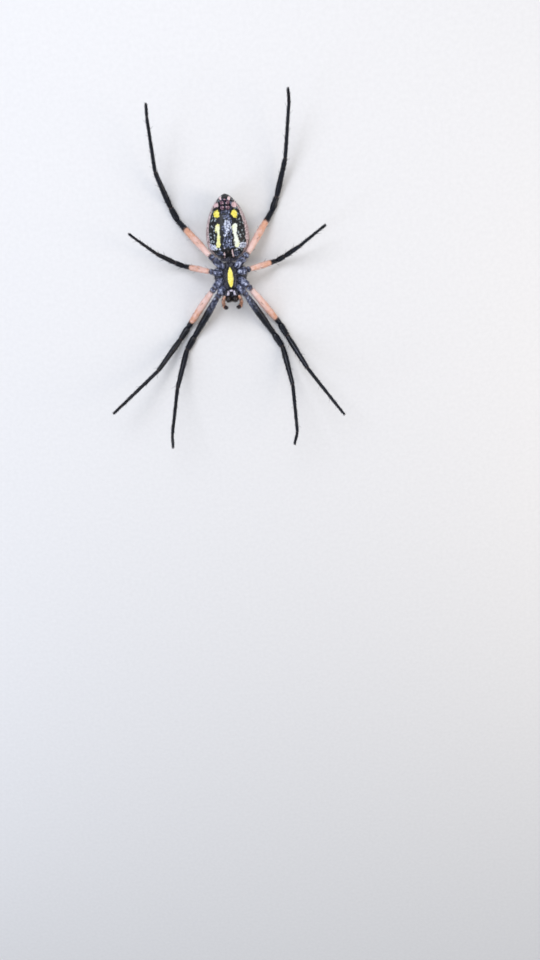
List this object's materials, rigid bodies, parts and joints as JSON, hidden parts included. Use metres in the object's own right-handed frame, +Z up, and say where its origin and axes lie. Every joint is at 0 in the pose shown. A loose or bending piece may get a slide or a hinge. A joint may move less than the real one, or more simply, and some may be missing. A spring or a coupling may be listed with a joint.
{
  "type": "yellow garden orb weaver spider",
  "caption": "Adult female yellow garden spider, an orb weaver, still and life size, lying belly up with its long legs reaching forward and back as it hangs under its web.",
  "frame": {"origin": "middle of the small flat of the abdomen's back, on the floor that the model lies on", "axes": "+Z up, from the floor towards the belly; the head points along -Y and the spinnerets' end along +Y; -X is the animal's left"},
  "size_m": [0.0476, 0.0666, 0.012],
  "materials": {
    "leg_black": "semi-gloss black cuticle with a blue-grey bloom and short dark hairs",
    "thigh_orange": "semi-gloss orange cuticle with fine pale hairs, black at its far end",
    "coxa_mottled": "dark cuticle with pale hair spots",
    "carapace_hair": "close silvery-white hair over brown-grey cuticle",
    "abdomen_skin": "satin skin, black with yellow, cream and blue-grey markings",
    "sternum_plate": "black cuticle with one bright yellow stripe",
    "mouth_cuticle": "black cuticle with pale tips",
    "chelicera_tan": "smooth brown cuticle with fine hairs",
    "palp_tan": "pale orange cuticle with hairs, dark at the tip",
    "brown_horn": "dark reddish-brown cuticle",
    "eye_glass": "polished black lens"
  },
  "bodies": {
    "root": {"abdomen": "abdomen_skin", "pedicel": "mouth_cuticle", "epigyne": "brown_horn", "anal_lobe": "brown_horn", "spinneret_front_left": "brown_horn", "spinneret_back_left": "brown_horn", "spinneret_front_right": "brown_horn", "spinneret_back_right": "brown_horn", "carapace": "carapace_hair", "sternum": "sternum_plate", "lip": "mouth_cuticle", "maxilla_left": "mouth_cuticle", "chelicera_left": "chelicera_tan", "fang_left": "brown_horn", "palp_left": "palp_tan", "eye_front_middle_left": "eye_glass", "eye_back_middle_left": "eye_glass", "eye_front_side_left": "eye_glass", "eye_back_side_left": "eye_glass", "leg1_left_base": "coxa_mottled", "leg1_left_thigh": "leg_black", "leg1_left_shin": "leg_black", "leg1_left_foot": "leg_black", "leg2_left_base": "coxa_mottled", "leg2_left_thigh": "thigh_orange", "leg2_left_shin": "leg_black", "leg2_left_foot": "leg_black", "leg3_left_base": "coxa_mottled", "leg3_left_thigh": "thigh_orange", "leg3_left_shin": "leg_black", "leg3_left_foot": "leg_black", "leg4_left_base": "coxa_mottled", "leg4_left_thigh": "thigh_orange", "leg4_left_shin": "leg_black", "leg4_left_foot": "leg_black", "maxilla_right": "mouth_cuticle", "chelicera_right": "chelicera_tan", "fang_right": "brown_horn", "palp_right": "palp_tan", "eye_front_middle_right": "eye_glass", "eye_back_middle_right": "eye_glass", "eye_front_side_right": "eye_glass", "eye_back_side_right": "eye_glass", "leg1_right_base": "coxa_mottled", "leg1_right_thigh": "leg_black", "leg1_right_shin": "leg_black", "leg1_right_foot": "leg_black", "leg2_right_base": "coxa_mottled", "leg2_right_thigh": "thigh_orange", "leg2_right_shin": "leg_black", "leg2_right_foot": "leg_black", "leg3_right_base": "coxa_mottled", "leg3_right_thigh": "thigh_orange", "leg3_right_shin": "leg_black", "leg3_right_foot": "leg_black", "leg4_right_base": "coxa_mottled", "leg4_right_thigh": "thigh_orange", "leg4_right_shin": "leg_black", "leg4_right_foot": "leg_black"}
  },
  "joints": []
}
